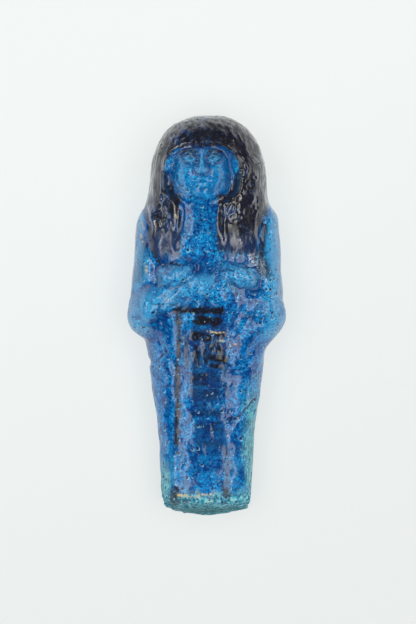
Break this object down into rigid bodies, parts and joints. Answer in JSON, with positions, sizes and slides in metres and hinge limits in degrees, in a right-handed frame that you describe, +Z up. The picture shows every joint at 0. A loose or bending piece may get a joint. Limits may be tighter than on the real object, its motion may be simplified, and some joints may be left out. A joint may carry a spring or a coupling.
{
  "type": "ushabti figurine",
  "caption": "Small mummy-shaped funerary figurine of blue glazed faience with a black wig, crossed arms and a painted text column.",
  "frame": {"origin": "middle of the figurine's length and width, on the plane of its flat back", "axes": "+Z up out of the chest, the way the face looks; +Y towards the crown of the head; +X towards the figure's left arm"},
  "size_m": [0.0404, 0.105, 0.0263],
  "materials": {
    "blue_glaze": "glossy copper-blue glaze, pitted, with black painted details"
  },
  "bodies": {
    "root": {"ushabti": "blue_glaze"}
  },
  "joints": []
}
